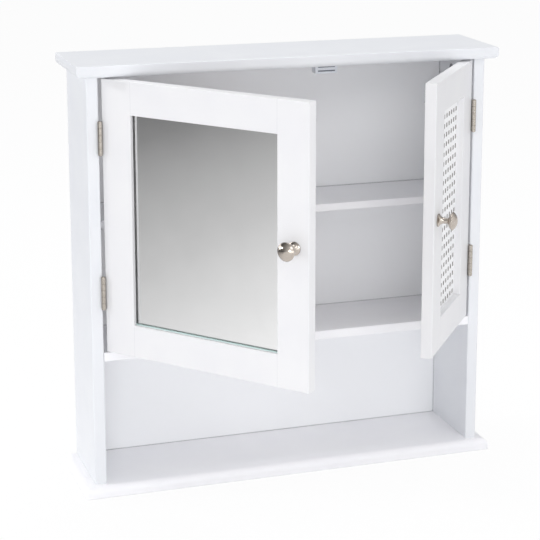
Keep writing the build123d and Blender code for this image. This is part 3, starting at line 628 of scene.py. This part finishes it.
class Surface(Enum):
    """The finishes of the cabinet's pieces."""

    # The one white lacquer has a different tone per part: darker on the outer boards and door frames,
    # lighter on the shelves, bottom board, back and perforated board. The differences are painted shade and
    # painted light, matched to how brightly each part shows.
    BOARD = SatinLacquer("lacquered_board", tone="#ECEEF1", shade="#E9EBEF")
    SHELF = SatinLacquer("lacquered_shelf", tone="#FCFCFE", shade="#F9F9FC")
    DOOR = SatinLacquer("lacquered_door_frame", tone="#EBEBEC", shade="#E8E8EA", roughness=0.34)
    LEFT_RAIL = SatinLacquer("lacquered_left_rail", tone="#EBEBEC", shade="#E8E8EA", roughness=0.34,
                             rail_ends=RailEnds(Hanging.LEFT))
    RIGHT_RAIL = SatinLacquer("lacquered_right_rail", tone="#EBEBEC", shade="#E8E8EA", roughness=0.34,
                              rail_ends=RailEnds(Hanging.RIGHT))
    # The back panel's dark tone where surfaces meet is painted shade: the shelves' contact lines and the
    # corners.
    BACK = SatinLacquer("lacquered_backboard", tone="#FCFDFF", shade="#FAFBFD", joint_shade_tone="#3E4045",
                        joint_shade_clear=0.95, joint_shade_reach_mm=2.0, roughness=0.45, wave_mm=120.0)
    # The perforated board's hole walls take a darker grey: partly the raw cut board, partly painted shade in
    # the holes.
    LATTICE = SatinLacquer("lacquered_perforated_board", tone="#FCFCFD", shade="#F9FAFB", joint_shade_reach_mm=1.4,
                           roughness=0.42, cut_edge_and_shade="#A09D99")
    DOWEL = WoodGrain("bare_beech")
    HARDBOARD = PressedFibre("raw_hardboard")
    # The knob's darkening under its head and round its neck is painted shade.
    KNOB = PlatedMetal("brushed_nickel_knob", tone="#D2C9C0", shade="#B4ABA2", roughness=0.2,
                       anisotropic=0.5, gap_shade_reach_mm=9.0, gap_shade_tone="#4A443F", gap_shade_clear=0.85, gap_shade_samples=24)
    # The hinges' dark knuckle gaps and their darker side by the door's edge are painted shade.
    HINGE = PlatedMetal("nickel_plated_hinge", tone="#D9D3CA", shade="#958D84", roughness=0.2, run=4.0,
                        gap_shade_reach_mm=2.0, gap_shade_tone="#2E2A27", gap_shade_clear=0.8)
    ZINC = PlatedMetal("zinc_plated_steel", tone="#C2C5C8", shade="#A3A7AB", roughness=0.33, run=2.0)
    CASTING = PlatedMetal("zinc_casting", tone="#B4B6B8", shade="#97999C", roughness=0.45, run=1.0,
                          grain_mm=0.8, relief_mm=0.02, anisotropic=0.0)
    POLE = PlatedMetal("dark_pole_steel", tone="#7E838B", shade="#5C6068", roughness=0.36, run=6.0,
                       along=Axis.X)
    PLASTIC = MouldedPlastic("white_moulded_plastic")
    FERRITE = SinteredFerrite("hard_ferrite")
    GLASS = FloatGlass("float_glass")
    GLASS_EDGE = GroundGlass("ground_glass_edge")
    SILVER = Silvering("mirror_silver")


class Palette:
    """Builds each finish once and gives it to the pieces that use it."""

    def __init__(self) -> None:
        """Start with no material built."""
        self._built: dict[Surface, bpy.types.Material] = {}

    def get(self, surface: Surface) -> bpy.types.Material:
        """Give the material of a surface, built on first use.

        Args:
            surface: The finish that is wanted.

        Returns:
            Its material.
        """
        if surface not in self._built:
            self._built[surface] = surface.value.material()
        return self._built[surface]

    def dress(self, nodes: Iterable[str], surface: Surface) -> None:
        """Give a finish to the named pieces of the frame.

        Args:
            nodes: Names of the frame's pieces.
            surface: The finish that they get.
        """
        for name in nodes:
            mesh = frame["nodes"][name].data
            mesh.materials.clear()
            mesh.materials.append(self.get(surface))
            log.info("%s: %s", name, surface.value.name)


def sheet_between(name: str, corners: Sequence[Vector], depth: Vector, arris: float,
                  material: bpy.types.Material) -> bpy.types.Object:
    """Make a flat sheet with rounded arrises.

    Args:
        name: The object's name.
        corners: The four corners of one face, in order round it.
        depth: The way from that face to the other one.
        arris: The radius of its edges, in metres.
        material: The sheet's material.

    Returns:
        The sheet's object, linked to the scene.
    """
    work = bmesh.new()
    near = [work.verts.new(corner) for corner in corners]
    far = [work.verts.new(corner + depth) for corner in corners]
    work.faces.new(near)
    work.faces.new(list(reversed(far)))
    count = len(corners)
    for i in range(count):
        j = (i + 1) % count
        work.faces.new((near[i], far[i], far[j], near[j]))
    bmesh.ops.recalc_face_normals(work, faces=work.faces)
    if arris > 0:
        bmesh.ops.bevel(work, geom=list(work.edges), offset=arris, segments=ARRIS_STEPS, profile=0.5,
                        affect="EDGES")
    mesh = bpy.data.meshes.new(name)
    work.to_mesh(mesh)
    work.free()
    mesh.materials.append(material)
    sheet = bpy.data.objects.new(name, mesh)
    bpy.context.scene.collection.objects.link(sheet)
    return sheet


# Sub-assemblies

@dataclass
class Carcass:
    """The fixed boards and the fasteners that join them."""

    boards: tuple[str, ...] = ("top_board", "left_side_panel", "right_side_panel")
    shelves: tuple[str, ...] = ("bottom_board", "fixed_shelf", "adjustable_shelf")
    steel: tuple[str, ...] = ("shelf_pins", "cam_bolts", "bottom_board_screws", "back_panel_nails",
                              "wall_hanger_plates", "wall_hanger_screws")

    def dress(self, palette: Palette) -> None:
        """Dress the boards, the back panel and the fasteners.

        Args:
            palette: The materials.
        """
        palette.dress(self.boards, Surface.BOARD)
        palette.dress(self.shelves, Surface.SHELF)
        palette.dress(("back_panel",), Surface.BACK)
        palette.dress(("carcass_dowels",), Surface.DOWEL)
        palette.dress(("cam_discs",), Surface.CASTING)
        palette.dress(self.steel, Surface.ZINC)


@dataclass
class MagneticCatch:
    """The catch under the top board."""

    def dress(self, palette: Palette) -> None:
        """Dress the housing, the pole plates, the magnet and the screws.

        Args:
            palette: The materials.
        """
        palette.dress(("catch_housing",), Surface.PLASTIC)
        palette.dress(("catch_pole_plates",), Surface.POLE)
        palette.dress(("catch_magnet",), Surface.FERRITE)
        palette.dress(("catch_screws",), Surface.ZINC)


@dataclass
class FramedDoor:
    """A door's frame, knob and hinge leaves."""

    hanging: Hanging

    def dress_frame(self, palette: Palette) -> None:
        """Dress what both doors have.

        Args:
            palette: The materials.
        """
        side = self.hanging.value
        door = f"{side}_door_"
        palette.dress((door + "hinge_stile", door + "meeting_stile"), Surface.DOOR)
        rail = Surface.LEFT_RAIL if self.hanging is Hanging.LEFT else Surface.RIGHT_RAIL
        palette.dress((door + "top_rail", door + "bottom_rail"), rail)
        palette.dress((door + "dowels",), Surface.DOWEL)
        palette.dress((f"{side}_knob",), Surface.KNOB)
        hinge = f"{side}_hinge_"
        palette.dress((hinge + "door_leaves", hinge + "side_leaves", hinge + "pins", hinge + "door_screws"),
                      Surface.HINGE)
        palette.dress((f"{side}_knob_screw", f"{side}_strike_plate", f"{side}_strike_screw"),
                      Surface.ZINC)


@dataclass
class MirrorDoor(FramedDoor):
    """The wide left door with its mirror of float glass and silver."""

    hanging: Hanging = Hanging.LEFT
    silver_mm: float = 0.12
    arris_mm: float = 0.35
    edge_play_mm: float = 0.02
    edge_covered_mm: float = 5.0
    edge_shown_mm: float = 1.4

    def build_mirror(self, palette: Palette) -> None:
        """Build the glass, its ground lower edge with its arrises, and the silver film behind them.

        Args:
            palette: The materials.
        """
        (start, end), (face, back), (low, high) = self.hanging.spans("mirror_glass")
        along, inward, up = self.hanging.along(), self.hanging.inward(), Vector((0.0, 0.0, 1.0))

        def corners(depth: float, bottom: float, top: float) -> list[Vector]:
            """Return the four corners of a strip of the mirror at a depth through the door."""
            return [along * a + inward * depth + up * z for a, z in
                    ((start, bottom), (end, bottom), (end, top), (start, top))]

        film, play, arris = self.silver_mm * MM, self.edge_play_mm * MM, self.arris_mm * MM
        seen_from = low + (self.edge_covered_mm + self.edge_shown_mm) * MM
        depth = inward * (back - face - film)
        glass = sheet_between("mirror_float_glass", corners(face, seen_from, high), depth, 0.0,
                              palette.get(Surface.GLASS))
        # The ground edge's opaque pale green is painted light: it stands in for light that comes through the
        # glass's edge.
        glass.data.materials.append(palette.get(Surface.GLASS_EDGE))
        for polygon in glass.data.polygons:
            polygon.material_index = int(polygon.normal.z < FACING_DOWN)
        edge = sheet_between("mirror_ground_edge", corners(face, low, seen_from - play), depth, arris,
                             palette.get(Surface.GLASS_EDGE))
        silver = sheet_between("mirror_silver_film", corners(back - film + play, low, high),
                               inward * (film - play), 0.0, palette.get(Surface.SILVER))
        for piece in (glass, edge, silver):
            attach(piece, "left_door")
        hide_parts("mirror_glass")
        log.info("mirror: glass %.1f mm thick", (back - face) / MM)

    def dress(self, palette: Palette) -> None:
        """Dress the door and build its mirror.

        Args:
            palette: The materials.
        """
        self.dress_frame(palette)
        palette.dress(("mirror_backing",), Surface.HARDBOARD)
        palette.dress(("mirror_brads",), Surface.ZINC)
        self.build_mirror(palette)


@dataclass
class PerforatedDoor(FramedDoor):
    """The narrow right door with its perforated board."""

    hanging: Hanging = Hanging.RIGHT

    def dress(self, palette: Palette) -> None:
        """Dress the door and its perforated board.

        Args:
            palette: The materials.
        """
        self.dress_frame(palette)
        palette.dress(("perforated_panel",), Surface.LATTICE)
        palette.dress(("panel_brads",), Surface.ZINC)


# Studio

@dataclass
class SoftLamp:
    """One rectangular soft lamp."""

    name: str
    place: tuple[float, float, float]
    target: tuple[float, float, float]
    width: float
    height: float
    power: float

    def build(self) -> None:
        """Add the lamp to the scene, turned to its target."""
        data = bpy.data.lights.new(self.name, "AREA")
        data.shape = "RECTANGLE"
        data.size = self.width
        data.size_y = self.height
        data.energy = self.power
        lamp = bpy.data.objects.new(self.name, data)
        lamp.location = self.place
        way = Vector(self.target) - Vector(self.place)
        lamp.rotation_mode = "QUATERNION"
        lamp.rotation_quaternion = way.to_track_quat("-Z", "Y")
        bpy.context.scene.collection.objects.link(lamp)


@dataclass
class Studio:
    """The floor, the surroundings, the lamps and the camera.

    The camera sees white behind the object. What reflects the room sees it fade across the floor,
    from white in front of the object to grey behind it and to its left.
    """

    floor_reach: float = 30.0
    floor_tone: str = "#F4F4F5"
    floor_lift: float = 0.93
    ambient: float = 0.66
    ambient_tone: str = "#FDFDFF"
    fade_way: tuple[float, float, float] = (0.514, -0.857, 0.0)
    floor_fade: tuple[float, float] = (-1.75, 0.15)
    room_fade: tuple[float, float] = (-1.0, 0.9)
    fade_stops: tuple[tuple[float, str], ...] = ((0.0, "#333333"), (0.33, "#7B7B7B"), (0.66, "#C2C2C2"),
                                                 (0.94, WHITE))
    camera_place: tuple[float, float, float] = (-0.708, -2.2245, 0.389)
    yaw: float = 19.60
    pitch: float = -12.89
    roll: float = 0.32
    lens: float = 118.33
    shift: tuple[float, float] = (-0.10, -0.15)
    lamps: tuple[SoftLamp, ...] = (
        SoftLamp("left_key", (-2.6, 0.62, 0.75), (-0.1, -0.1, -0.2), 0.16, 0.16, 14.0),
        SoftLamp("left_rear", (-2.3, 1.5, 0.3), (-0.27, -0.05, -0.22), 1.0, 1.0, 10.0),
        SoftLamp("front_low", (0.1, -3.0, -0.1), (0.0, 0.0, -0.35), 2.0, 0.7, 6.0),
        SoftLamp("front_high", (0.4, -2.6, 1.6), (0.0, 0.0, -0.2), 2.0, 1.0, 12.0),
        SoftLamp("top_wash", (0.0, 0.1, 2.4), (0.0, -0.05, 0.0), 1.6, 1.2, 26.0),
        SoftLamp("camera_side", (-0.95, -2.5, 0.25), (0.05, -0.1, -0.25), 0.6, 0.6, 7.5),
    )

    def background_shares(self, tree: bpy.types.NodeTree) -> tuple[Any, Any]:
        """Find which rays see the background instead of taking light from it.

        Args:
            tree: The tree of the floor or of the world.

        Returns:
            The camera share, and the share of camera, glossy and transmitted rays together.
        """
        path = add_node(tree, "ShaderNodeLightPath")
        camera, glossy, passed = (path.outputs[name] for name in
                                  ("Is Camera Ray", "Is Glossy Ray", "Is Transmission Ray"))
        mirrored = add_node(tree, "ShaderNodeMath", {0: glossy, 1: passed}, operation="MAXIMUM")
        seen = add_node(tree, "ShaderNodeMath", {0: camera, 1: mirrored.outputs[0]}, operation="MAXIMUM")
        return camera, seen.outputs[0]

    def faded(self, tree: bpy.types.NodeTree, point: Any, span: tuple[float, float], camera: Any) -> Any:
        """Make the colour that the room shows: white to the camera, faded in reflections.

        Args:
            tree: The tree of the floor or of the world.
            point: The output that gives the place or the direction.
            span: Where the fade starts and ends along its way.
            camera: The output that is 1 for camera rays.

        Returns:
            The output with the colour.
        """
        along = add_node(tree, "ShaderNodeVectorMath", {0: point}, {1: self.fade_way},
                         operation="DOT_PRODUCT")
        share = add_node(tree, "ShaderNodeMapRange", {"Value": along.outputs["Value"]},
                         {"From Min": span[0], "From Max": span[1]})
        tone = set_stops(add_node(tree, "ShaderNodeValToRGB", {"Fac": share.outputs["Result"]}),
                         self.fade_stops)
        shown = add_node(tree, "ShaderNodeMix", {0: camera, 6: tone.outputs["Color"]},
                         {7: linear(WHITE)}, data_type="RGBA")
        return shown.outputs[2]

    def build_world(self) -> None:
        """Make the surroundings: soft ambient light, and the room that camera and reflections see."""
        world = bpy.data.worlds.new("studio")
        bpy.context.scene.world = world
        world.use_nodes = True
        tree = world.node_tree
        tree.nodes.clear()
        camera, seen = self.background_shares(tree)
        way = add_node(tree, "ShaderNodeTexCoord").outputs["Generated"]
        colour = self.faded(tree, way, self.room_fade, camera)
        soft = add_node(tree, "ShaderNodeBackground", None,
                        {"Color": linear(self.ambient_tone), "Strength": self.ambient})
        room = add_node(tree, "ShaderNodeBackground", {"Color": colour}, {"Strength": 1.0})
        mixed = add_node(tree, "ShaderNodeMixShader", {0: seen, 1: soft.outputs[0], 2: room.outputs[0]})
        add_node(tree, "ShaderNodeOutputWorld", {"Surface": mixed.outputs[0]})

    def build_floor(self) -> None:
        """Make the pale floor with the object's soft shadow on it."""
        reach = self.floor_reach
        corners = [(x * reach, y * reach, CAD_LOW.z) for x, y in ((-1, -1), (1, -1), (1, 1), (-1, 1))]
        mesh = bpy.data.meshes.new("floor")
        mesh.from_pydata(corners, [], [(0, 1, 2, 3)])
        floor = bpy.data.objects.new("floor", mesh)
        bpy.context.scene.collection.objects.link(floor)
        material = bpy.data.materials.new("pale_floor")
        material.use_nodes = True
        tree = material.node_tree
        tree.nodes.clear()
        camera, seen = self.background_shares(tree)
        place = add_node(tree, "ShaderNodeTexCoord").outputs["Object"]
        shown = self.faded(tree, place, self.floor_fade, camera)
        glow = add_node(tree, "ShaderNodeEmission", {"Color": shown}, {"Strength": 1.0})
        lit = add_node(tree, "ShaderNodeBsdfDiffuse", None, {"Color": linear(self.floor_tone)})
        lift = add_node(tree, "ShaderNodeMath", {0: seen}, {1: self.floor_lift}, operation="MULTIPLY")
        mixed = add_node(tree, "ShaderNodeMixShader",
                         {0: lift.outputs[0], 1: lit.outputs[0], 2: glow.outputs[0]})
        add_node(tree, "ShaderNodeOutputMaterial", {"Surface": mixed.outputs[0]})
        mesh.materials.append(material)

    def build_camera(self) -> None:
        """Add the camera at the photograph's viewing angle."""
        data = bpy.data.cameras.new("camera")
        data.lens = self.lens
        data.shift_x, data.shift_y = self.shift
        camera = bpy.data.objects.new("camera", data)
        turn = (Matrix.Rotation(radians(-self.yaw), 4, "Z")
                @ Matrix.Rotation(radians(90 + self.pitch), 4, "X")
                @ Matrix.Rotation(radians(self.roll), 4, "Z"))
        camera.matrix_world = Matrix.Translation(self.camera_place) @ turn
        bpy.context.scene.collection.objects.link(camera)
        bpy.context.scene.camera = camera

    def build(self) -> None:
        """Build the whole studio."""
        bpy.context.scene.view_settings.view_transform = "Standard"
        self.build_world()
        self.build_floor()
        for lamp in self.lamps:
            lamp.build()
        self.build_camera()
        log.info("studio: %d lamps", len(self.lamps))


def main() -> None:
    """Dress the cabinet and build the studio around it."""
    logging.basicConfig(level=logging.INFO, format="%(name)s: %(message)s")
    palette = Palette()
    Studio().build()
    for assembly in (Carcass(), MagneticCatch(), MirrorDoor(), PerforatedDoor()):
        assembly.dress(palette)
    palette.dress(("hinge_side_screws",), Surface.HINGE)


if __name__ == "__main__":
    main()
